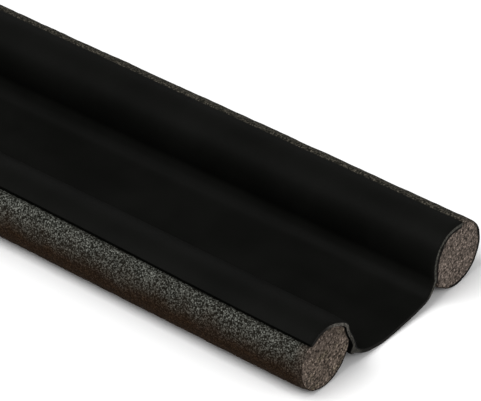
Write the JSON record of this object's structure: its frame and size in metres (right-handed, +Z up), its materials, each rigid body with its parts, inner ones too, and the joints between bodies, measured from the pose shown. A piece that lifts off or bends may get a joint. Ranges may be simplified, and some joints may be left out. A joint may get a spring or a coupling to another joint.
{
  "type": "twin-roll under-door draught excluder",
  "caption": "Under-door draught excluder: two solid foam rolls joined by a strip of coated cloth that hangs between them as an open channel.",
  "frame": {"origin": "middle of the footprint, on the surface that the rolls rest on", "axes": "+X along the rolls, +Y from the front roll to the back roll, +Z up"},
  "size_m": [0.94, 0.1081, 0.0288],
  "materials": {
    "foam": "matte closed-cell foam, dark grey",
    "coated_cloth": "matte coated cloth, near black"
  },
  "bodies": {
    "root": {"foam_roll_front": "foam", "foam_roll_back": "foam", "cloth_strip": "coated_cloth"}
  },
  "joints": []
}
